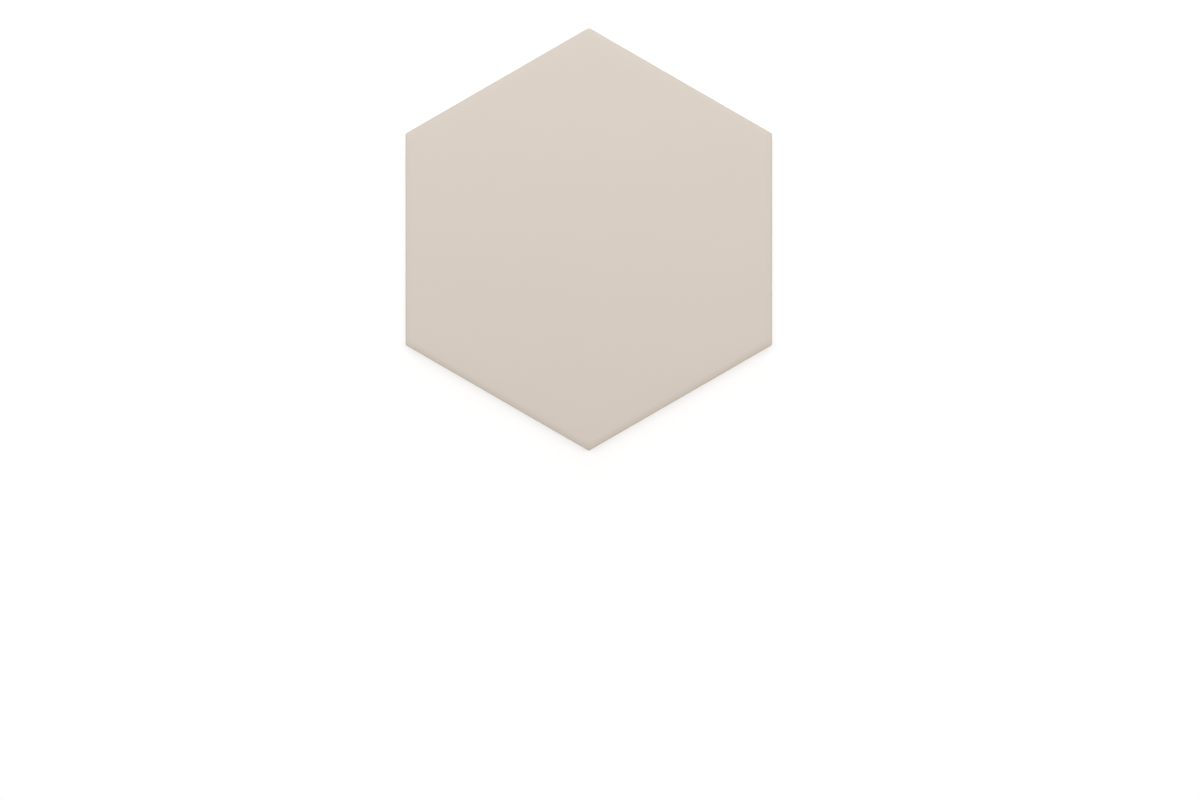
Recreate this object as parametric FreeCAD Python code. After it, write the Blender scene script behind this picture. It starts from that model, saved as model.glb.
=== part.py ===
import FreeCAD, Part
import math
import os

# A hexagon floor tile: one piece of dry-pressed clay, glazed on its face and fired.
# It lies on its back with two corners on the Y axis, and +Z points out of the walking face.
# The origin is in the middle of the back, on the plane of the ribs it stands on.
# All sizes are in millimetres, and angles in degrees.

# Outline
across_flats = 175.0
thickness = 9.0
corner_radius = 1.0

# Face: a flat field that falls away to the edges in a shallow cushion, with a rounded rim
cushion_width = 3.5
cushion_drop = 0.45
field_corner_radius = 3.0
rim_radius = 0.5

# Back: a bevelled heel round a honeycomb of shallow recesses, the key that the bed grips
heel_bevel = 0.8
key_rings = 6
key_margin = 8.0
key_rib = 2.5
key_depth = 0.7
key_draft = 30.0

hexagon_corners = range(30, 390, 60)
cos_30 = math.cos(math.radians(30))
same_place = 1e-6


def direction(angle):
    """Unit vector in the plane of the tile, turned from +X."""
    turn = math.radians(angle)
    return FreeCAD.Vector(math.cos(turn), math.sin(turn), 0)


def hexagon_prism(flats, radius, bottom, top):
    """Upright hexagon block with rounded corners, as wide as flats from side to side."""
    corner_reach = (flats / 2 - radius) / cos_30
    base = FreeCAD.Vector(0, 0, bottom)
    arcs = []
    for corner in hexagon_corners:
        centre = base + direction(corner) * corner_reach
        points = [centre + direction(corner + swing) * radius for swing in (-30, 0, 30)]
        arcs.append(Part.Arc(*points).toShape())
    sides = []
    for arc, following in zip(arcs, arcs[1:] + arcs[:1]):
        start = arc.Vertexes[-1].Point
        end = following.Vertexes[0].Point
        sides.append(Part.LineSegment(start, end).toShape())
    outline = [edge for pair in zip(arcs, sides) for edge in pair]
    face = Part.Face(Part.Wire(outline))
    return face.extrude(FreeCAD.Vector(0, 0, top - bottom))


def edges_between(shape, lowest, highest):
    """Edges that lie wholly between two heights."""
    found = []
    for edge in shape.Edges:
        heights = [edge.valueAt(t).z for t in edge.ParameterRange]
        heights.append(edge.CenterOfMass.z)
        if min(heights) > lowest and max(heights) < highest:
            found.append(edge)
    return found


def heeled_blank():
    """Straight-sided slab with the arris of its back bevelled off."""
    slab = hexagon_prism(across_flats, corner_radius, 0, thickness)
    back_edges = edges_between(slab, -same_place, same_place)
    return slab.makeChamfer(heel_bevel, back_edges)


def cushion_block():
    """Wider block with large rounded top edges: the part of it over the slab is the cushion."""
    fall_radius = (cushion_width**2 + cushion_drop**2) / (2 * cushion_drop)
    flats = across_flats + 2 * (fall_radius - cushion_width)
    upright_radius = fall_radius + field_corner_radius
    block = hexagon_prism(flats, upright_radius, -fall_radius, thickness)
    top_edges = edges_between(block, thickness - same_place, thickness + same_place)
    return block.makeFillet(fall_radius, top_edges)


def pressed_tile():
    """The slab under its cushion, with the rim between cushion and side rounded."""
    tile = heeled_blank().common(cushion_block())
    middle = thickness / 2
    rim_edges = edges_between(tile, middle, thickness - same_place)
    return tile.makeFillet(rim_radius, rim_edges)


def hexagon_points(flats, height):
    """Corners of a plain hexagon that stands a twelfth of a turn from the tile's own."""
    reach = flats / 2 / cos_30
    lift = FreeCAD.Vector(0, 0, height)
    return [lift + direction(corner - 30) * reach for corner in hexagon_corners]


def flat_face(points):
    """Plane face with these corners."""
    return Part.Face(Part.makePolygon(points + points[:1]))


def key_recess(flats):
    """Hexagonal recess whose walls lean in to its floor, as the punch needs to let go."""
    floor_flats = flats - 2 * key_depth * math.tan(math.radians(key_draft))
    mouth = hexagon_points(flats, 0)
    floor = hexagon_points(floor_flats, key_depth)
    faces = [flat_face(mouth), flat_face(floor)]
    for corner in range(len(mouth)):
        after = (corner + 1) % len(mouth)
        faces.append(flat_face([mouth[corner], mouth[after], floor[after], floor[corner]]))
    return Part.Solid(Part.Shell(faces))


def honeycomb():
    """Rings of recesses that fill the back as far as its plain margin."""
    field_reach = across_flats / 2 - key_margin
    row_pitches = key_rings * cos_30
    corner_share = 1 / (2 * cos_30)
    pitch = (field_reach + key_rib * corner_share) / (row_pitches + corner_share)
    recess = key_recess(pitch - key_rib)
    steps = range(-key_rings, key_rings + 1)
    recesses = []
    for along in steps:
        for across in steps:
            if abs(along + across) <= key_rings:
                place = direction(30) * (along * pitch) + direction(90) * (across * pitch)
                recesses.append(recess.translated(place))
    print(f"honeycomb: {len(recesses)} recesses, {pitch:.2f} mm apart")
    return Part.makeCompound(recesses)


def main():
    os.makedirs("parts", exist_ok=True)
    [tile] = pressed_tile().cut(honeycomb()).Solids
    box = tile.optimalBoundingBox(True, False)
    print(f"tile: {box.XLength:.2f} x {box.YLength:.2f} x {box.ZLength:.2f} mm")
    print(f"tile: {tile.Volume / 1000:.2f} cm3, {len(tile.Faces)} faces, valid {tile.isValid()}")
    tile.exportStep("parts/hexagon_tile.step")


main()
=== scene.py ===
# %% [markdown]
# A satin glazed hexagon floor tile
#
# The real thing is one piece. Clay powder is pressed in a steel die, which gives it its outline, the
# soft cushion round its face and the honeycomb on its back. A glaze is poured over the face, runs a
# little way down the sides, and everything is fired together.
#
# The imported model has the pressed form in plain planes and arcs. This script builds one finer mesh in
# the same place, with softened arrises and the edge of the glaze, and gives it its glaze, its bare clay
# and its light.

import math

import bmesh
import bpy
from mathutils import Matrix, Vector, noise
from mathutils.geometry import delaunay_2d_cdt


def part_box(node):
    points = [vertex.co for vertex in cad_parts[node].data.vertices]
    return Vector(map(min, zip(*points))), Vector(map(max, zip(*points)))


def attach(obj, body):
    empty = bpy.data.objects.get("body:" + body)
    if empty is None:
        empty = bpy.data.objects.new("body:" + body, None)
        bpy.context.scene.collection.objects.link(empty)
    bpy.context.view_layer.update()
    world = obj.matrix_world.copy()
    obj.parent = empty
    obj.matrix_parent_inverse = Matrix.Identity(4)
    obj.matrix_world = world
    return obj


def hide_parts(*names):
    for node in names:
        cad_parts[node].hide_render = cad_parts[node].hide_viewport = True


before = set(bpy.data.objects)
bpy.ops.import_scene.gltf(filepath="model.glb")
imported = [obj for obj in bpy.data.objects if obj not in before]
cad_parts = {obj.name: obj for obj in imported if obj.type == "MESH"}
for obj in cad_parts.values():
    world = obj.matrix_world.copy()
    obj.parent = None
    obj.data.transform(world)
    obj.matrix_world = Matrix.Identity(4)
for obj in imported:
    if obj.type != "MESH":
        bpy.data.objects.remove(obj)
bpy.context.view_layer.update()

# %% [markdown]
# Sizes
#
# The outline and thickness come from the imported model's own box, so the new mesh can't drift away from
# it. They could be typed in again, but two copies of a size soon differ. A sharp hexagon would reach a
# little further at its corners than the box does, and that shortfall gives the radius of its upright
# corners. The smaller sizes are those of the die, and each is written where it is first needed.

# %% Sizes of the tile
mm = 0.001
cos_30 = math.cos(math.radians(30))
tan_30 = math.tan(math.radians(30))

low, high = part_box("hexagon_tile")
half_flats = (high.x - low.x) / 2
half_corners = (high.y - low.y) / 2
thickness = high.z - low.z
corner_radius = (half_flats / cos_30 - half_corners) / (1 / cos_30 - 1)

print(f"across flats {2 * half_flats / mm:.2f} mm, thickness {thickness / mm:.2f} mm")
print(f"upright corners have a radius of {corner_radius / mm:.2f} mm")

# %% [markdown]
# Rings round the tile
#
# A hexagon could be cut from a cylinder with six sides and bevelled, but a bevel gives no say over
# where the points go. Here every contour of the tile, from the flat field to the heel, is a ring with
# the same number of points, so that one ring joins the next with clean quads. The corners get their own
# short steps.

# %% Plan outline of a hexagon with rounded corners
points_per_side = 84
corner_steps = 3


def direction(angle):
    """Unit vector in the plane of the tile, turned from +X by degrees."""
    turn = math.radians(angle)
    return Vector((math.cos(turn), math.sin(turn)))


def outline(inradius, radius, per_side=points_per_side, arc_steps=corner_steps, turn=0):
    """Plan points of a rounded hexagon, anticlockwise from the middle of one corner."""
    reach = (inradius - radius) / cos_30
    straight_steps = per_side - 2 * arc_steps
    points = []
    for corner in range(turn + 30, turn + 390, 60):
        here = direction(corner) * reach
        there = direction(corner + 60) * reach
        out = direction(corner + 30) * radius
        for step in range(arc_steps):
            points.append(here + direction(corner + 30 * step / arc_steps) * radius)
        for step in range(straight_steps):
            points.append((here + out).lerp(there + out, step / straight_steps))
        for step in range(arc_steps):
            points.append(there + direction(corner + 30 + 30 * step / arc_steps) * radius)
    return points


wall = outline(half_flats, corner_radius)
places = range(len(wall))
print(f"each ring has {len(wall)} points")

# %% [markdown]
# The cushion
#
# Near its edges the face falls away on a large arc, by less than half a millimetre. That is what draws
# the dark bands along the lower sides of the tile and the light ones along the upper sides. A bevel
# modifier could make the arc, but not its corners: in the die the height of a point depends only on how
# far it lies outside the flat field, so the cushion rounds itself there. The same rule is used here.
# The glaze adds a much fainter crown just inside the cushion, because it draws back from the edge as it
# melts.

# %% Height of the face outside its flat field
cushion_width = 3.5 * mm
cushion_drop = 0.45 * mm
field_corner_radius = 3.0 * mm
crown_width = 9.0 * mm
crown_drop = 0.08 * mm
crown_corner_radius = 12.0 * mm

field_inradius = half_flats - cushion_width
crown_inradius = field_inradius - crown_width
fall_radius = (cushion_width**2 + cushion_drop**2) / (2 * cushion_drop)


def beyond(point, inradius, radius):
    """How far a plan point lies outside a rounded hexagon, or 0 inside it."""
    core = inradius - radius
    side = round(math.degrees(math.atan2(point.y, point.x)) / 60) * 60
    out = point.xy.dot(direction(side)) - core
    along = abs(point.xy.dot(direction(side + 90))) - core * tan_30
    if along > 0:
        out = math.hypot(out, along)
    return max(out - radius, 0)


def arc_height(point, radius):
    """Height over the bed of an arc round the cushion's own centre, above a plan point."""
    away = beyond(point, field_inradius, field_corner_radius)
    return thickness - fall_radius + math.sqrt(radius**2 - away**2)


def crown_sink(point):
    """How far the glaze's crown has fallen at a plan point."""
    away = beyond(point, crown_inradius, crown_corner_radius)
    return crown_drop * min(away / crown_width, 1) ** 2


print(f"the cushion is an arc of {fall_radius / mm:.1f} mm radius")

# %% [markdown]
# The edge of the glaze
#
# The glaze is poured on the face, and what runs over the rim dries two or three millimetres down the
# side, in an uneven line with a few longer runs. It could be painted on, but the glaze has a thickness,
# so the line is in the mesh: below it the side steps in to bare clay. Each point also keeps its height
# above the line as an attribute, and the material reads that to change from glaze to clay in the same
# place.

# %% Where the glaze ends
glaze_below_face = 2.2 * mm
glaze_step = 0.1 * mm
glaze_taper = 0.3 * mm
glaze_waves = [(24 * mm, 0.35 * mm), (7 * mm, 0.18 * mm), (2.6 * mm, 0.06 * mm)]
run_spacing = 11 * mm
run_threshold = 0.22
run_length = 2.2 * mm


def glaze_line(point):
    """Height at which the glaze ends on the side, at a plan point of the outline."""
    place = point.to_3d()
    height = thickness - glaze_below_face
    for length, swing in glaze_waves:
        height += noise.noise(place / length) * swing
    run = noise.noise(place / run_spacing) - run_threshold
    return height - max(run, 0) * run_length


def side_inset(height, line):
    """How far the side stands in from the outline, under the edge of the glaze."""
    below = min(max((line - height) / glaze_taper, 0), 1)
    return glaze_step * below * below * (3 - 2 * below)


glaze_ends = [glaze_line(point) for point in wall]
print(f"the glaze ends {min(glaze_ends) / mm:.2f} to {max(glaze_ends) / mm:.2f} mm above the bed")

# %% [markdown]
# Starting the mesh
#
# A mesh can be made from one long list of points and one of faces, but then every face has to know its
# points by number. BMesh takes them one at a time and hands each point back, which suits rings. Each
# kind of surface gets its own material number. The flat back is shaded flat and all that curves is
# shaded smooth, so that a long thin triangle between two recesses can't pick up the slope of their
# rims.

# %% Helpers that add rings and the bands between them
tile_mesh = bmesh.new()
glaze_reach = tile_mesh.verts.layers.float.new("glaze_reach")
all_glaze = 5.0
no_glaze = -5.0
glaze_slot, side_slot, back_slot = range(3)


def add_ring(points, glazed):
    """New points of the tile; glazed is their height above the edge of the glaze in mm."""
    ring = []
    for point in points:
        vert = tile_mesh.verts.new(point)
        vert[glaze_reach] = glazed
        ring.append(vert)
    return ring


def add_face(corners, slot, smooth=True):
    face = tile_mesh.faces.new(corners)
    face.material_index = slot
    face.smooth = smooth


def bridge(upper, lower, slot):
    """Quads between two rings of as many points."""
    for here in range(len(upper)):
        after = (here + 1) % len(upper)
        add_face((upper[here], lower[here], lower[after], upper[after]), slot)


print("material slots: glaze", glaze_slot, "side", side_slot, "back", back_slot)

# %% [markdown]
# Face, cushion and rim
#
# The rim is a small arc that touches both the cushion and the upright side. Its centre lies one rim
# radius inside the side and as much below the cushion, which fixes its height and the angle at which it
# starts. A bevel modifier could round it as well, but the sides have to start on its last ring, so it
# is made here.

# %% Rings from the flat field out to the side
rim_radius = 0.5 * mm
cushion_steps = 10
rim_steps = 6

rim_centres = outline(half_flats - rim_radius, corner_radius - rim_radius)
field_edge = outline(field_inradius, field_corner_radius)
rim_arc_radius = fall_radius - rim_radius
rim_heights = [arc_height(centre, rim_arc_radius) for centre in rim_centres]
rim_starts = []
for centre in rim_centres:
    away = beyond(centre, field_inradius, field_corner_radius)
    rim_starts.append(math.asin(away / rim_arc_radius))


def rim_point(place, share):
    """Point on the rim's arc: share 0 is at the cushion, and 1 at the side."""
    angle = rim_starts[place] + (math.pi / 2 - rim_starts[place]) * share
    plan = rim_centres[place].lerp(wall[place], math.sin(angle))
    return Vector((plan.x, plan.y, rim_heights[place] + rim_radius * math.cos(angle)))


def cushion_point(place, share):
    """Point of the cushion between the flat field and the start of the rim."""
    plan = field_edge[place].lerp(rim_point(place, 0).to_2d(), share)
    return Vector((plan.x, plan.y, arc_height(plan, fall_radius)))


face_rings = []
for step in range(cushion_steps):
    share = step / cushion_steps
    face_rings.append(add_ring([cushion_point(place, share) for place in places], all_glaze))
for step in range(rim_steps + 1):
    share = step / rim_steps
    face_rings.append(add_ring([rim_point(place, share) for place in places], all_glaze))
for upper, lower in zip(face_rings, face_rings[1:]):
    bridge(upper, lower, glaze_slot)
print(f"cushion and rim: {len(face_rings)} rings, {math.degrees(max(rim_starts)):.1f} degrees at most")

# %% [markdown]
# The flat field could be one large face, but then the firing would have no points in it to move. It is
# filled with hexagons inside hexagons, each with one point fewer to a side, so that its triangles are
# all nearly equal, with no fan of slivers in the middle.

# %% The flat field


def plain_hexagon(reach, per_side):
    """Plan points of a sharp hexagon, anticlockwise from a corner."""
    points = []
    for corner in range(30, 390, 60):
        here = direction(corner) * reach
        there = direction(corner + 60) * reach
        points += [here.lerp(there, step / per_side) for step in range(per_side)]
    return points


outer = face_rings[0]
field_reach = field_inradius / cos_30
for per_side in range(points_per_side - 1, 0, -1):
    plan = plain_hexagon(field_reach * per_side / points_per_side, per_side)
    inner = add_ring([(point.x, point.y, thickness) for point in plan], all_glaze)
    for side in range(6):
        for step in range(per_side + 1):
            here = side * (per_side + 1) + step
            near = (side * per_side + step) % len(inner)
            after = outer[(here + 1) % len(outer)]
            add_face((outer[here], after, inner[near]), glaze_slot)
            if step < per_side:
                beside = inner[(near + 1) % len(inner)]
                add_face((after, beside, inner[near]), glaze_slot)
    outer = inner
middle = add_ring([(0, 0, thickness)], all_glaze)[0]
for here in range(6):
    add_face((outer[here], outer[(here + 1) % 6], middle), glaze_slot)
print(f"face: {len(tile_mesh.faces)} faces so far")

# %% [markdown]
# Sides and heel
#
# The sides carry the edge of the glaze. Below it the bare clay runs straight down to a small bevel, the
# heel, which the die gives every pressed tile so that the back's arris doesn't chip. The heel could be
# left as a sharp bevel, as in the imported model, but fired clay has no sharp arris, so both of its own
# are taken off by short arcs. One helper does that for any corner of a profile.

# %% Round a corner of a profile


def softened(before, corner, after, radius, steps):
    """Points of the arc that takes a profile's corner off."""
    back = (before - corner).normalized()
    on = (after - corner).normalized()
    half_angle = back.angle(on) / 2
    centre = corner + (back + on).normalized() * (radius / math.sin(half_angle))
    reach = radius / math.tan(half_angle)
    start = corner + back * reach - centre
    end = corner + on * reach - centre
    sweep = start.angle(end)
    points = []
    for step in range(steps + 1):
        turned = sweep * step / steps
        offset = start * math.sin(sweep - turned) + end * math.sin(turned)
        points.append(centre + offset / math.sin(sweep))
    return points


heel_bevel = 0.8 * mm
heel_softening = 0.25 * mm
heel_steps = 3

heel_top = Vector((glaze_step, heel_bevel - glaze_step))
heel_foot = Vector((heel_bevel, 0))
above_heel = heel_top + Vector((0, heel_bevel))
inside_heel = heel_foot + Vector((heel_bevel, 0))
heel_profile = softened(above_heel, heel_top, heel_foot, heel_softening, heel_steps)
heel_profile += softened(heel_top, heel_foot, inside_heel, heel_softening, heel_steps)
print(f"the heel's profile has {len(heel_profile)} points")

# %% Sides and heel
line_steps = 6
body_steps = 4
least_corner = 0.1 * mm
body_foot = heel_profile[0].y
body_tops = [end - glaze_taper for end in glaze_ends]
side_normals = [(wall[place] - rim_centres[place]) / rim_radius for place in places]


def side_ring(heights):
    """Ring on the side, with a height for each place."""
    points = []
    for place, height in enumerate(heights):
        plan = wall[place] - side_normals[place] * side_inset(height, glaze_ends[place])
        points.append((plan.x, plan.y, height))
    ring = add_ring(points, all_glaze)
    for vert, end in zip(ring, glaze_ends):
        vert[glaze_reach] = (vert.co.z - end) / mm
    return ring


def heel_ring(profile_point):
    """Ring of the heel: its profile holds the inset and the height."""
    inset, height = profile_point
    plan = outline(half_flats - inset, max(corner_radius - inset, least_corner))
    return add_ring([(point.x, point.y, height) for point in plan], no_glaze)


side_rings = [face_rings[-1]]
for step in range(line_steps + 1):
    drop = (step - 1) / (line_steps - 1) * glaze_taper
    side_rings.append(side_ring([end - drop for end in glaze_ends]))
for step in range(1, body_steps):
    share = step / body_steps
    side_rings.append(side_ring([top + (body_foot - top) * share for top in body_tops]))
side_rings += [heel_ring(point) for point in heel_profile]
for upper, lower in zip(side_rings, side_rings[1:]):
    bridge(upper, lower, side_slot)
print(f"sides and heel: {len(side_rings)} rings")

# %% [markdown]
# The back
#
# The back is a honeycomb of shallow recesses, pressed in so that the adhesive keys to it. They could be
# cut from a plain back with a boolean, which would leave ragged triangles round every one. Here each
# recess is a few small rings and a floor. The ribs and the margin round them lie in one plane, which
# one call fills with triangles. It is told which edges to keep, so that every recess's mouth stays
# whole and there is no seam. The triangles that it puts inside a mouth, with all their corners on it,
# are left out.

# %% One recess, and where they all go
key_rings = 6
key_margin = 8.0 * mm
key_rib = 2.5 * mm
key_depth = 0.7 * mm
key_draft = math.radians(30)
key_softening = 0.3 * mm
key_arc_steps = 2

corner_share = 1 / (2 * cos_30)
key_reach = half_flats - key_margin + key_rib * corner_share
key_pitch = key_reach / (key_rings * cos_30 + corner_share)
mouth = Vector(((key_pitch - key_rib) / 2, 0))
floor_edge = mouth + Vector((-key_depth * math.tan(key_draft), key_depth))
outside = mouth + Vector((key_depth, 0))
inside = floor_edge - Vector((key_depth, 0))
recess_profile = softened(outside, mouth, floor_edge, key_softening, key_arc_steps)
recess_profile += softened(mouth, floor_edge, inside, key_softening, key_arc_steps)

recess_centres = []
for along in range(-key_rings, key_rings + 1):
    for across in range(-key_rings, key_rings + 1):
        if abs(along + across) <= key_rings:
            place = direction(30) * (along * key_pitch) + direction(90) * (across * key_pitch)
            recess_centres.append(place)
print(f"{len(recess_centres)} recesses, {key_pitch / mm:.2f} mm apart")

# %% Recesses
key_corner_radius = 1.3 * mm
key_points_per_side = 5
key_corner_steps = 2


def recess_ring(centre, inradius, height):
    """Ring of a recess, which stands a twelfth of a turn from the tile."""
    radius = key_corner_radius - mouth.x + inradius
    plan = outline(inradius, radius, key_points_per_side, key_corner_steps, turn=30)
    return add_ring([(*(centre + point), height) for point in plan], no_glaze)


mouths = []
for centre in recess_centres:
    rings = [recess_ring(centre, inradius, height) for inradius, height in recess_profile]
    for upper, lower in zip(rings, rings[1:]):
        bridge(upper, lower, back_slot)
    add_face(rings[-1], back_slot, smooth=False)
    mouths.append(rings[0])
print(f"each recess has {len(recess_profile)} rings of {len(mouths[0])} points")

# %% Ribs and margin, in one plane
inside_edges = 1
closest = 1e-6

loops = [side_rings[-1]] + mouths
verts = [vert for loop in loops for vert in loop]
owner = [number for number, loop in enumerate(loops) for vert in loop]
edges = []
first = 0
for loop in loops:
    count = len(loop)
    edges += [(first + step, first + (step + 1) % count) for step in range(count)]
    first += count
flat = [vert.co.to_2d() / mm for vert in verts]
_, _, triangles, sources, _, _ = delaunay_2d_cdt(flat, edges, [], inside_edges, closest)
kept = 0
for triangle in triangles:
    corners = [sources[corner][0] for corner in triangle]
    owners = {owner[corner] for corner in corners}
    if owners == {0} or len(owners) > 1:
        add_face([verts[corner] for corner in corners], back_slot, smooth=False)
        kept += 1
print(f"back: {kept} triangles between {len(mouths)} recesses")

# %% [markdown]
# Fired, not machined
#
# A kiln leaves a tile very slightly uneven. The face moves by a few hundredths of a millimetre over the
# width of a hand. No ruler shows it, but it keeps the sheen from looking drawn. A displace modifier
# with a cloud texture would move the back too, and a tile lies on its back, so the script moves each
# point itself, by more the higher it lies. The crown of the glaze goes on in the same pass.

# %% Let the firing move the face a little
firing_waves = [(70 * mm, 0.04 * mm), (26 * mm, 0.008 * mm)]

for vert in tile_mesh.verts:
    place = Vector((vert.co.x, vert.co.y, 0))
    sink = crown_sink(place)
    for length, depth in firing_waves:
        sink += (0.5 + 0.5 * noise.noise(place / length)) * depth
    vert.co.z -= sink * vert.co.z / thickness

bmesh.ops.recalc_face_normals(tile_mesh, faces=tile_mesh.faces)
open_edges = [edge for edge in tile_mesh.edges if not edge.is_manifold]
volume = tile_mesh.calc_volume() / (10 * mm) ** 3
print(f"tile: {len(tile_mesh.faces)} faces, {len(open_edges)} open edges, {volume:.1f} cubic cm")

# %% Make it an object of the scene


def as_object(name, built):
    """Turns a finished BMesh into an object."""
    data = bpy.data.meshes.new(name)
    built.to_mesh(data)
    built.free()
    made = bpy.data.objects.new(name, data)
    bpy.context.scene.collection.objects.link(made)
    return made


tile = as_object("satin_hexagon_tile", tile_mesh)
print("object:", tile.name)

# %% [markdown]
# Node groups
#
# Glaze and clay meet on the sides, so both are described once, as node groups that give a colour, a
# roughness and a height, and each material takes what it needs. The groups read the object's own
# coordinates, so one pattern runs over the rim without a break. Sizes inside them are in millimetres.

# %% Helper that starts a group


def new_group(name, inputs, outputs):
    """Empty node group with these sockets: name to (socket type, default value)."""
    group = bpy.data.node_groups.new(name, "ShaderNodeTree")
    for socket, (kind, value) in inputs.items():
        made = group.interface.new_socket(socket, in_out="INPUT", socket_type=kind)
        made.default_value = value
    for socket, kind in outputs.items():
        group.interface.new_socket(socket, in_out="OUTPUT", socket_type=kind)
    given = group.nodes.new("NodeGroupInput")
    result = group.nodes.new("NodeGroupOutput")
    return group, given.outputs, result.inputs


print("node groups so far:", len(bpy.data.node_groups))

# %% Helpers that do sums with nodes


def plug(tree, socket, value):
    """Links value to a socket if it is an output, and sets it otherwise."""
    if isinstance(value, bpy.types.NodeSocket):
        tree.links.new(value, socket)
    else:
        socket.default_value = value


def math_node(tree, operation, *values):
    node = tree.nodes.new("ShaderNodeMath")
    node.operation = operation
    for socket, value in zip(node.inputs, values):
        plug(tree, socket, value)
    return node.outputs[0]


def vector_node(tree, operation, *values):
    node = tree.nodes.new("ShaderNodeVectorMath")
    node.operation = operation
    for socket, value in zip(node.inputs, values):
        plug(tree, socket, value)
    return node.outputs["Value"] if operation in ("DOT_PRODUCT", "LENGTH") else node.outputs["Vector"]


def scaled(tree, colour, factor):
    """A colour made lighter or darker by a factor."""
    node = tree.nodes.new("ShaderNodeVectorMath")
    node.operation = "SCALE"
    plug(tree, node.inputs[0], colour)
    plug(tree, node.inputs["Scale"], factor)
    return node.outputs["Vector"]


print("made plug, math_node, vector_node and scaled")

# %% [markdown]
# Mottle
#
# No fired surface is quite one colour. This group lightens and darkens a colour in soft clouds. The
# same group serves the even glaze, where it is barely there, and the clay, where it shows. It could be
# painted on a map, but the noise node fills space, so it needs no map and has no seam at the rim.

# %% Helpers that give a place and a noise


def place_in_mm(tree, stretch=(1, 1, 1)):
    """The object's own coordinates in millimetres, stretched along its axes."""
    place = tree.nodes.new("ShaderNodeTexCoord").outputs["Object"]
    return vector_node(tree, "MULTIPLY", place, tuple(factor / mm for factor in stretch))


def cloud(tree, place, size, detail=2.0):
    """Noise from 0 to 1 whose blotches are about size mm across."""
    node = tree.nodes.new("ShaderNodeTexNoise")
    plug(tree, node.inputs["Vector"], place)
    plug(tree, node.inputs["Scale"], math_node(tree, "DIVIDE", 1.0, size))
    node.inputs["Detail"].default_value = detail
    return node.outputs["Fac"]


print(f"to the nodes, the tile is {2 * half_flats / mm:.0f} units across")

# %% Group: soft clouds in a colour
mottle_group, given, result = new_group(
    "mottle",
    {
        "Color": ("NodeSocketColor", (0.8, 0.8, 0.8, 1)),
        "Size": ("NodeSocketFloat", 20.0),
        "Amount": ("NodeSocketFloat", 0.02),
    },
    {"Color": "NodeSocketColor", "Mask": "NodeSocketFloat"},
)
clouds = cloud(mottle_group, place_in_mm(mottle_group), given["Size"], detail=3.0)
swing = math_node(mottle_group, "MULTIPLY_ADD", clouds, 2.0, -1.0)
tone = math_node(mottle_group, "MULTIPLY_ADD", swing, given["Amount"], 1.0)
mottle_group.links.new(scaled(mottle_group, given["Color"], tone), result["Color"])
mottle_group.links.new(clouds, result["Mask"])
print("group mottle:", len(mottle_group.nodes), "nodes")

# %% [markdown]
# Distance to the outline
#
# Glaze is thinner where it bends over the rim. The rim could be marked in the mesh, as the edge of the
# glaze is, but a hexagon makes it easy to find by sums: the largest of three dot products is how far a
# point has come towards the nearest side.

# %% Group: how far a point lies inside the outline, in millimetres
inside_group, given, result = new_group("inside_outline", {}, {"Distance": "NodeSocketFloat"})
place = place_in_mm(inside_group)
reaches = []
for angle in (0, 60, 120):
    out = direction(angle)
    reach = vector_node(inside_group, "DOT_PRODUCT", place, (out.x, out.y, 0))
    reaches.append(math_node(inside_group, "ABSOLUTE", reach))
furthest = math_node(inside_group, "MAXIMUM", reaches[1], reaches[2])
furthest = math_node(inside_group, "MAXIMUM", reaches[0], furthest)
distance = math_node(inside_group, "SUBTRACT", half_flats / mm, furthest)
inside_group.links.new(distance, result["Distance"])
print("group inside_outline:", len(inside_group.nodes), "nodes")

# %% [markdown]
# Satin glaze
#
# The glaze is a warm stone beige, matt to the eye but with a broad soft sheen. Close up, its skin has a
# very fine ripple on a slow swell. Where it thins over the rim a little of the clay shows through. The
# ripple is too small to be worth points of the mesh, so it is a height for a Bump node.

# %% Helpers that place a group, fade by a value and mix colours


def use_group(tree, group, **settings):
    """Places a group in a tree, with its inputs set or linked by name, and returns its outputs."""
    node = tree.nodes.new("ShaderNodeGroup")
    node.node_tree = group
    for socket, value in settings.items():
        plug(tree, node.inputs[socket.replace("_", " ")], value)
    return node.outputs


def ramp(tree, value, start, end, to_start=0.0, to_end=1.0):
    """Smooth step of a value from start to end."""
    node = tree.nodes.new("ShaderNodeMapRange")
    node.interpolation_type = "SMOOTHSTEP"
    for socket, number in zip(node.inputs, (value, start, end, to_start, to_end)):
        plug(tree, socket, number)
    return node.outputs[0]


def mix_colours(tree, share, first, second):
    node = tree.nodes.new("ShaderNodeMix")
    node.data_type = "RGBA"
    factor, colour_a, colour_b = node.inputs[0], node.inputs[6], node.inputs[7]
    plug(tree, factor, share)
    plug(tree, colour_a, first)
    plug(tree, colour_b, second)
    return node.outputs[2]


print("groups that can be placed:", [group.name for group in bpy.data.node_groups])

# %% Group: satin glaze
glaze_colour = (0.656, 0.580, 0.511, 1)
thin_glaze_colour = (0.64, 0.56, 0.485, 1)
thin_within = 1.4
glaze_roughness = 0.45
broad_glaze_mottle = {"Size": 42.0, "Amount": 0.008}
fine_glaze_mottle = {"Size": 2.2, "Amount": 0.004}
roughness_swing = 0.08
ripple_size = 1.6
ripple_depth = 0.0035
swell_size = 9.0
swell_depth = 0.008

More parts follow.
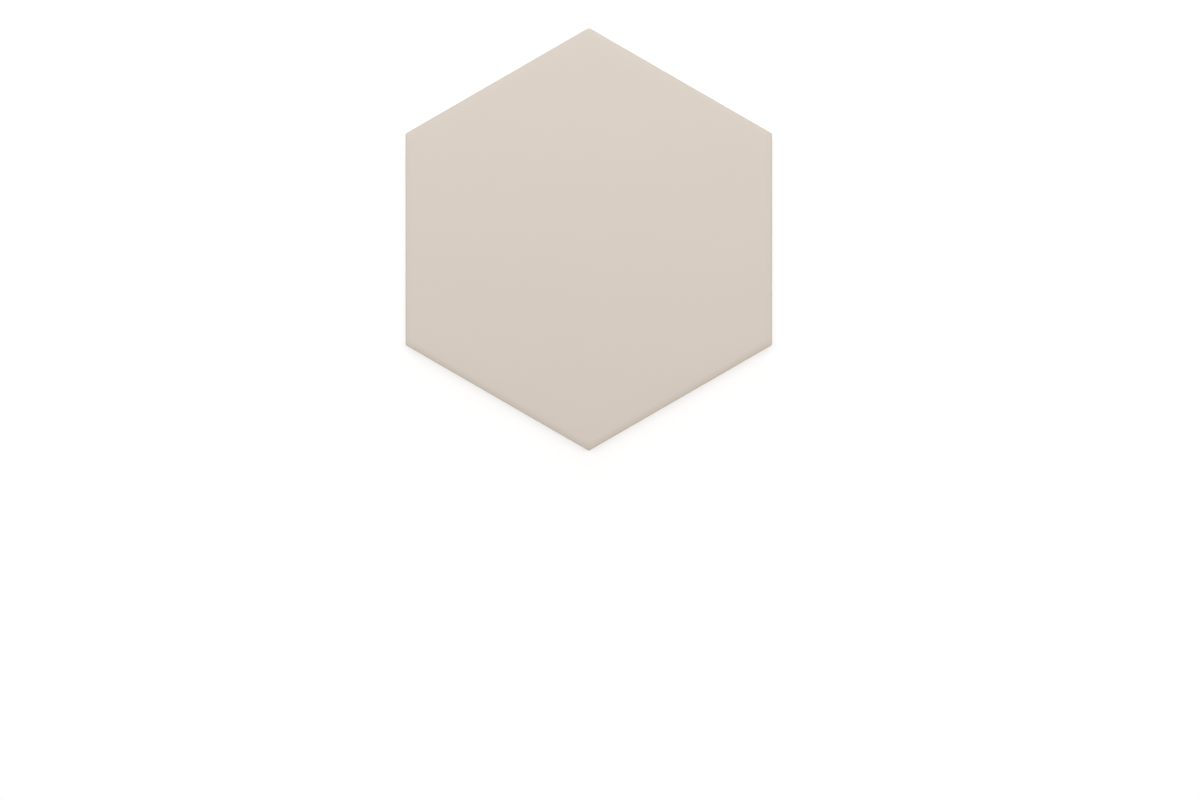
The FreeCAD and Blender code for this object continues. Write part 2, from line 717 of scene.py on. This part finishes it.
glaze_group, given, result = new_group(
    "satin_glaze",
    {"Roughness": ("NodeSocketFloat", glaze_roughness)},
    {"Color": "NodeSocketColor", "Roughness": "NodeSocketFloat", "Height": "NodeSocketFloat"},
)
thinness = ramp(glaze_group, use_group(glaze_group, inside_group)["Distance"], thin_within, 0.0)
colour = mix_colours(glaze_group, thinness, glaze_colour, thin_glaze_colour)
broad = use_group(glaze_group, mottle_group, Color=colour, **broad_glaze_mottle)
fine = use_group(glaze_group, mottle_group, Color=broad["Color"], **fine_glaze_mottle)
uneven = math_node(glaze_group, "SUBTRACT", fine["Mask"], 0.5)
roughness = math_node(glaze_group, "MULTIPLY_ADD", uneven, roughness_swing, given["Roughness"])
place = place_in_mm(glaze_group)
ripple = math_node(glaze_group, "MULTIPLY", cloud(glaze_group, place, ripple_size), ripple_depth)
swell = math_node(glaze_group, "MULTIPLY", cloud(glaze_group, place, swell_size), swell_depth)
glaze_group.links.new(fine["Color"], result["Color"])
glaze_group.links.new(roughness, result["Roughness"])
glaze_group.links.new(math_node(glaze_group, "ADD", ripple, swell), result["Height"])
print("group satin_glaze:", len(glaze_group.nodes), "nodes")

# %% [markdown]
# Bare clay
#
# Pressed and fired stoneware is dense and sandy, an ivory body with pale grains and brownish grey ones
# in it. The grains could be a texture of cells, but those are all of about one size. Here they are one
# noise, cut off high for the dark ones and low for the pale ones. The sides also carry fine upright
# lines, from the walls of the die as the tile is pushed out. They are a noise of the same kind,
# stretched along the height, and their depth is an input because the back has none.

# %% Group: bare clay
clay_colour = (0.675, 0.592, 0.503, 1)
grain_dark = (0.3, 0.25, 0.2, 1)
grain_pale = (0.82, 0.78, 0.7, 1)
broad_clay_mottle = {"Size": 18.0, "Amount": 0.06}
fine_clay_mottle = {"Size": 0.9, "Amount": 0.08}
grain_size = 0.32
grain_depth = 0.05
pale_below = (0.33, 0.27)
pale_share = 0.5
dark_above = (0.69, 0.74)
dark_share = 0.7
rough_fade = (0.2, 0.8)
least_rough, most_rough = 0.82, 0.95
pit_size = 1.1
pit_depth = -0.05
pit_below = (0.36, 0.28)
die_line_width = 0.5
die_line_stretch = 0.03
die_line_depth = 0.03
die_line_shade = 0.25
shade_between_lines = 0.9

clay_group, given, result = new_group(
    "bare_clay",
    {"Die Lines": ("NodeSocketFloat", 0.0)},
    {"Color": "NodeSocketColor", "Roughness": "NodeSocketFloat", "Height": "NodeSocketFloat"},
)
place = place_in_mm(clay_group)
broad = use_group(clay_group, mottle_group, Color=clay_colour, **broad_clay_mottle)
fine = use_group(clay_group, mottle_group, Color=broad["Color"], **fine_clay_mottle)
grain = cloud(clay_group, place, grain_size, detail=1.0)
pale = ramp(clay_group, grain, *pale_below, to_end=pale_share)
dark = ramp(clay_group, grain, *dark_above, to_end=dark_share)
colour = mix_colours(clay_group, pale, fine["Color"], grain_pale)
colour = mix_colours(clay_group, dark, colour, grain_dark)
streaks = cloud(clay_group, place_in_mm(clay_group, stretch=(1, 1, die_line_stretch)), die_line_width)
die_lines = math_node(clay_group, "MULTIPLY", streaks, given["Die Lines"])
rub = math_node(clay_group, "MULTIPLY_ADD", die_lines, die_line_shade, shade_between_lines)
sand = math_node(clay_group, "MULTIPLY", grain, grain_depth)
pits = ramp(clay_group, cloud(clay_group, place, pit_size), *pit_below, to_end=pit_depth)
ridges = math_node(clay_group, "MULTIPLY", die_lines, die_line_depth)
height = math_node(clay_group, "ADD", math_node(clay_group, "ADD", sand, pits), ridges)
roughness = ramp(clay_group, grain, *rough_fade, least_rough, most_rough)
clay_group.links.new(scaled(clay_group, colour, rub), result["Color"])
clay_group.links.new(roughness, result["Roughness"])
clay_group.links.new(height, result["Height"])
print("group bare_clay:", len(clay_group.nodes), "nodes")

# %% [markdown]
# The three materials
#
# The shader itself stays in the material. The face is glaze alone. The sides mix glaze into clay by the
# attribute that the mesh carries, and a little noise makes the line as ragged as dried slip. The back
# is clay, with the chalky wash that keeps a tile from sticking in the kiln: it is rolled on, so it sits
# on the ribs and has worn thin in places. One material could do all of this with masks, but three are
# easier to read, and each face of the mesh already knows which of them it needs.

# %% Shared steps of the materials
bump_unit = 1 * mm


def new_material(name):
    """New material of the tile: its node tree and its shader."""
    material = bpy.data.materials.new(name)
    material.use_nodes = True
    tile.data.materials.append(material)
    return material.node_tree, material.node_tree.nodes["Principled BSDF"]


def finish_with(tree, shader, colour, roughness, height):
    """Plugs a surface's colour, roughness and height into the shader."""
    tree.links.new(colour, shader.inputs["Base Color"])
    tree.links.new(roughness, shader.inputs["Roughness"])
    bump = tree.nodes.new("ShaderNodeBump")
    bump.inputs["Distance"].default_value = bump_unit
    tree.links.new(height, bump.inputs["Height"])
    tree.links.new(bump.outputs["Normal"], shader.inputs["Normal"])


print("a height of 1 stands for", bump_unit / mm, "mm")

# %% Material of the face
tree, shader = new_material("satin_glaze_face")
glaze = use_group(tree, glaze_group)
finish_with(tree, shader, glaze["Color"], glaze["Roughness"], glaze["Height"])
print("face:", len(tree.nodes), "nodes")

# %% Material of the sides
ragged_size = 0.7
ragged_swing = 0.5
line_fade = (-0.2, -0.02)


def mix_values(tree, share, first, second):
    node = tree.nodes.new("ShaderNodeMix")
    plug(tree, node.inputs[0], share)
    plug(tree, node.inputs[2], first)
    plug(tree, node.inputs[3], second)
    return node.outputs[0]


tree, shader = new_material("glaze_over_clay_side")
glaze = use_group(tree, glaze_group)
clay = use_group(tree, clay_group, Die_Lines=1.0)
reach_node = tree.nodes.new("ShaderNodeAttribute")
reach_node.attribute_name = "glaze_reach"
ragged = math_node(tree, "SUBTRACT", cloud(tree, place_in_mm(tree), ragged_size), 0.5)
reach = math_node(tree, "MULTIPLY_ADD", ragged, ragged_swing, reach_node.outputs["Fac"])
cover = ramp(tree, reach, *line_fade)
finish_with(
    tree,
    shader,
    mix_colours(tree, cover, clay["Color"], glaze["Color"]),
    mix_values(tree, cover, clay["Roughness"], glaze["Roughness"]),
    mix_values(tree, cover, clay["Height"], glaze["Height"]),
)
print("sides:", len(tree.nodes), "nodes")

# %% Material of the back
kiln_wash_colour = (0.8, 0.78, 0.73, 1)
full_wash_height = 0.02
no_wash_height = 0.16
wear_size = 2.6
wear_fade = (0.25, 0.6)
least_wash, most_wash = 0.3, 0.75

tree, shader = new_material("keyed_clay_back")
clay = use_group(tree, clay_group)
place = place_in_mm(tree)
above_bed = vector_node(tree, "DOT_PRODUCT", place, (0, 0, 1))
on_rib = ramp(tree, above_bed, no_wash_height, full_wash_height)
worn = ramp(tree, cloud(tree, place, wear_size, detail=4.0), *wear_fade, least_wash, most_wash)
wash = math_node(tree, "MULTIPLY", on_rib, worn)
colour = mix_colours(tree, wash, clay["Color"], kiln_wash_colour)
finish_with(tree, shader, colour, clay["Roughness"], clay["Height"])
print("back:", len(tree.nodes), "nodes")
print("materials:", [material.name for material in tile.data.materials])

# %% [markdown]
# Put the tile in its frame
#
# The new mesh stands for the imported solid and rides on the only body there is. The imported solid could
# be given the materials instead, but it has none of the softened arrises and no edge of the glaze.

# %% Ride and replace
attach(tile, "root")
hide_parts("hexagon_tile")
print(tile.name, "stands for hexagon_tile")

# %% [markdown]
# Camera
#
# The photograph looks straight down, and a long lens does the same here. One pixel of the photograph
# covers a little under half a millimetre of the face, and that sets how high the camera hangs. The tile
# keeps the place that it has in the photograph, up from the middle of the frame. A turned camera could
# put it there too, but would show its sides, so the camera is moved and still looks straight down.

# %% Camera
photo_scale = 0.4772 * mm
photo_width = 1200
photo_height = 800
tile_column = 588.8
tile_row = 239.1

camera_data = bpy.data.cameras.new("overhead_camera")
camera_data.lens = 100
camera_data.sensor_width = 36
camera = bpy.data.objects.new("overhead_camera", camera_data)
bpy.context.scene.collection.objects.link(camera)
frame_width = photo_width * photo_scale
above_face = camera_data.lens / camera_data.sensor_width * frame_width
camera.location = (
    (photo_width / 2 - tile_column) * photo_scale,
    (tile_row - photo_height / 2) * photo_scale,
    thickness + above_face,
)
bpy.context.scene.camera = camera
print(f"camera {above_face:.2f} m above the face")

# %% [markdown]
# Floor
#
# The floor is a wide white sheet. Seen directly it glows, so that it comes out as the white of the
# photograph, but less so near the tile, which still darkens it a little where they meet. To every other
# ray it is plain matt white. From below it is clear as glass, so that a look from there shows the whole
# tile, and a window as wide as the flat of the back lets the light in.

# %% Floor sheet with its window
floor_drop = 0.02 * mm
floor_radii = (0.3, 1.0, 6.0)
window_margin = heel_bevel + 0.4 * mm

floor_mesh = bmesh.new()
window = outline(half_flats - window_margin, corner_radius)
plans = [window] + [[point.normalized() * radius for point in window] for radius in floor_radii]
rings = [[floor_mesh.verts.new((point.x, point.y, -floor_drop)) for point in plan] for plan in plans]
for inner, outer in zip(rings, rings[1:]):
    for here in range(len(inner)):
        after = (here + 1) % len(inner)
        floor_mesh.faces.new((inner[here], outer[here], outer[after], inner[after]))
floor = as_object("floor", floor_mesh)
print(f"floor {2 * floor_radii[-1]:.0f} m across, {floor_drop / mm} mm under the tile")

# %% Helpers for what the camera sees


def seen_directly(tree):
    """1 for rays from the camera, and for what a mirror or glass shows."""
    path = tree.nodes.new("ShaderNodeLightPath").outputs
    seen = math_node(tree, "MAXIMUM", path["Is Camera Ray"], path["Is Glossy Ray"])
    return math_node(tree, "MAXIMUM", seen, path["Is Transmission Ray"])


def coloured(tree, kind, colour, **settings):
    """A simple shader of one colour, such as matt paint or a glow."""
    node = tree.nodes.new(kind)
    node.inputs["Color"].default_value = colour
    for socket, value in settings.items():
        plug(tree, node.inputs[socket], value)
    return node.outputs[0]


def mix_shaders(tree, share, first, second):
    node = tree.nodes.new("ShaderNodeMixShader")
    tree.links.new(share, node.inputs[0])
    tree.links.new(first, node.inputs[1])
    tree.links.new(second, node.inputs[2])
    return node.outputs[0]


white = (1, 1, 1, 1)
print("the floor and the room are seen as", white)

# %% Material of the floor
floor_white = (0.85, 0.85, 0.85, 1)
floor_seen = (0.45, 0.45, 0.45, 1)
floor_glow = 0.65
shadow_reach = 0.2
white_from = 0.7

floor_material = bpy.data.materials.new("white_floor")
floor_material.use_nodes = True
tree = floor_material.node_tree
tree.nodes.clear()
near_tile = tree.nodes.new("ShaderNodeAddShader")
tree.links.new(coloured(tree, "ShaderNodeBsdfDiffuse", floor_seen), near_tile.inputs[0])
tree.links.new(coloured(tree, "ShaderNodeEmission", white, Strength=floor_glow), near_tile.inputs[1])
pure_white = coloured(tree, "ShaderNodeEmission", white)
place = tree.nodes.new("ShaderNodeTexCoord").outputs["Object"]
far = ramp(tree, vector_node(tree, "LENGTH", place), shadow_reach, white_from)
seen = mix_shaders(tree, far, near_tile.outputs[0], pure_white)
plain = coloured(tree, "ShaderNodeBsdfDiffuse", floor_white)
from_above = mix_shaders(tree, seen_directly(tree), plain, seen)
clear = coloured(tree, "ShaderNodeBsdfTransparent", white)
from_below = tree.nodes.new("ShaderNodeNewGeometry").outputs["Backfacing"]
surface = mix_shaders(tree, from_below, from_above, clear)
tree.links.new(surface, tree.nodes.new("ShaderNodeOutputMaterial").inputs["Surface"])
floor.data.materials.append(floor_material)
print("floor:", len(tree.nodes), "nodes")

# %% [markdown]
# Light
#
# Three things light the tile, as in a studio for flat goods. A white room gives a slightly warm fill
# from all round: its walls are brighter than its ceiling, which lifts the sides of the tile. What lies
# below the floor lights only the back, more from one side than from the other, so that the recesses
# show their depth. A long strip hangs high over the camera, from left to right. It lays an even sheen
# on the face, which the upper and lower rims lose as they tilt away while the left and right ones keep
# it. A cooler soft light stands close, beyond the top of the frame, so that the face fades down its
# length as in the photograph and the lower rims go dark. A picture of a real studio could do as much,
# but this script reads no pictures.

# %% Room light
ceiling_strength = 0.27
wall_strength = 0.9
dim_side_below = 0.3
bright_side_below = 1.7
bright_side = (0.8, -0.6, 0)
side_fade = (-0.7, 0.7)
wall_foot = (-0.3, -0.1)
wall_top = (-0.1, 0.4)
room_colour = (1.0, 0.945, 0.85, 1)

world = bpy.data.worlds.new("white_room")
bpy.context.scene.world = world
world.use_nodes = True
tree = world.node_tree
tree.nodes.clear()
towards = tree.nodes.new("ShaderNodeTexCoord").outputs["Generated"]
upward = vector_node(tree, "DOT_PRODUCT", towards, (0, 0, 1))
sideways = vector_node(tree, "DOT_PRODUCT", towards, bright_side)
below = ramp(tree, sideways, *side_fade, dim_side_below, bright_side_below)
walls = ramp(tree, upward, *wall_foot, below, wall_strength)
strength = ramp(tree, upward, *wall_top, walls, ceiling_strength)
room = coloured(tree, "ShaderNodeBackground", room_colour, Strength=strength)
backdrop = coloured(tree, "ShaderNodeBackground", white)
surface = mix_shaders(tree, seen_directly(tree), room, backdrop)
tree.links.new(surface, tree.nodes.new("ShaderNodeOutputWorld").inputs["Surface"])
print("room:", len(tree.nodes), "nodes")

# %% Soft lights


def add_soft_light(name, tilt, distance, width, height, power, colour):
    """Rectangular lamp that faces the tile, tilted from straight overhead towards +Y."""
    lamp = bpy.data.lights.new(name, "AREA")
    lamp.shape = "RECTANGLE"
    lamp.size = width
    lamp.size_y = height
    lamp.energy = power
    lamp.color = colour
    lamp_object = bpy.data.objects.new(name, lamp)
    angle = math.radians(tilt)
    lamp_object.location = (0, math.sin(angle) * distance, math.cos(angle) * distance)
    lamp_object.rotation_euler = (-angle, 0, 0)
    lamp_object.visible_camera = False
    bpy.context.scene.collection.objects.link(lamp_object)
    print(f"{name}: {width} x {height} m, {power} W, {distance} m away, {tilt} degrees from overhead")


add_soft_light("overhead_strip", tilt=8, distance=2.2, width=4.0, height=0.5, power=34, colour=(1, 1, 1))
add_soft_light(
    "near_light", tilt=60, distance=0.8, width=1.2, height=0.5, power=3.3, colour=(0.88, 0.97, 1.1)
)

# %% [markdown]
# Finish
#
# Colours are shown as they are, with no film look. The dressed tile must be no larger than the
# imported one.

# %% Colour management
bpy.context.scene.view_settings.view_transform = "Standard"
